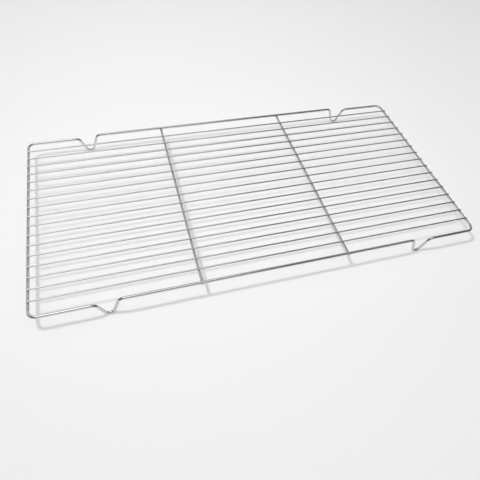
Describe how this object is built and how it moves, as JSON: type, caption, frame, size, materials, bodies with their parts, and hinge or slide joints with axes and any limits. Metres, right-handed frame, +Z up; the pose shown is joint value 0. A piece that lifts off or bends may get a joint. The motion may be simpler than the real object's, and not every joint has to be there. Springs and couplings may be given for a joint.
{
  "type": "wire grill rack",
  "caption": "Rectangular chromed wire rack with lengthwise wires on a bent frame with V feet, for grilling or cooling food.",
  "frame": {"origin": "on the surface that the feet stand on, under the middle of the rack", "axes": "+X along the thin wires, +Y from front to back, +Z up"},
  "size_m": [0.46, 0.23, 0.0234],
  "materials": {
    "chrome_plate": "bright decorative chrome on drawn steel wire"
  },
  "bodies": {
    "root": {"frame": "chrome_plate", "cross_bar_left": "chrome_plate", "cross_bar_right": "chrome_plate", "wire_01": "chrome_plate", "wire_02": "chrome_plate", "wire_03": "chrome_plate", "wire_04": "chrome_plate", "wire_05": "chrome_plate", "wire_06": "chrome_plate", "wire_07": "chrome_plate", "wire_08": "chrome_plate", "wire_09": "chrome_plate", "wire_10": "chrome_plate", "wire_11": "chrome_plate", "wire_12": "chrome_plate", "wire_13": "chrome_plate", "wire_14": "chrome_plate", "wire_15": "chrome_plate", "wire_16": "chrome_plate", "wire_17": "chrome_plate"}
  },
  "joints": []
}
